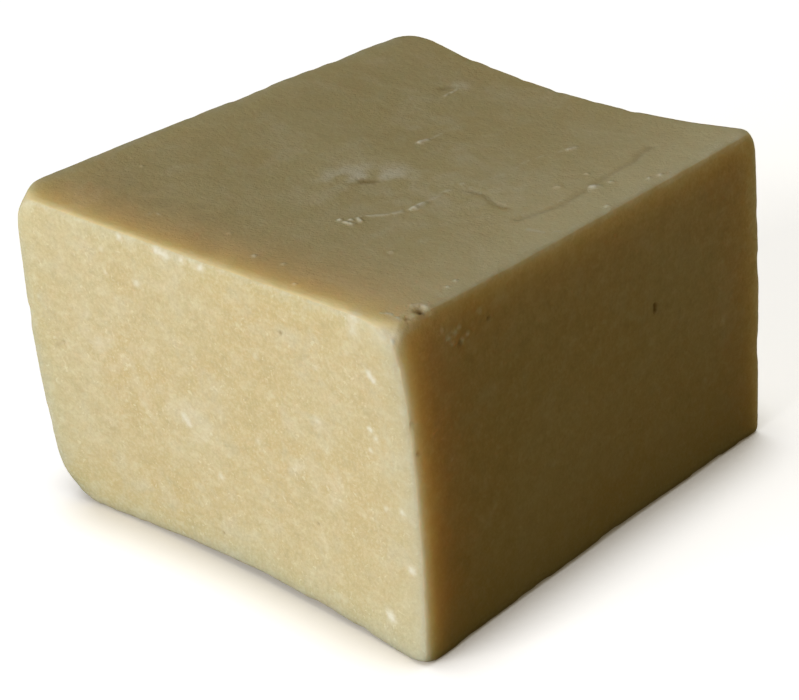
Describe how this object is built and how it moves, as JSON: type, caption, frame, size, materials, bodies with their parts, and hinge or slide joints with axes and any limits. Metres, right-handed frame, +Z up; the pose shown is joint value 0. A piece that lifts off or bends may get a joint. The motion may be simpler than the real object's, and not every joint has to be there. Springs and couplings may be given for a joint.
{
  "type": "bar of soap",
  "caption": "Hand-cut block of plain olive-oil soap with sunken faces, worn edges, a knocked-off top corner and a wide rounded rim underneath.",
  "frame": {"origin": "on the ground, under the middle of the bar's box", "axes": "+Z up from the face that the bar rests on, +X along the longer side of its top, -Y out of the cut front face, +Y out of the rounded rim"},
  "size_m": [0.0742, 0.0676, 0.0466],
  "materials": {
    "soap": "dull, waxy and slightly see-through, with fine grain, pale bloom and scuffed edges"
  },
  "bodies": {
    "root": {"soap_bar": "soap"}
  },
  "joints": []
}
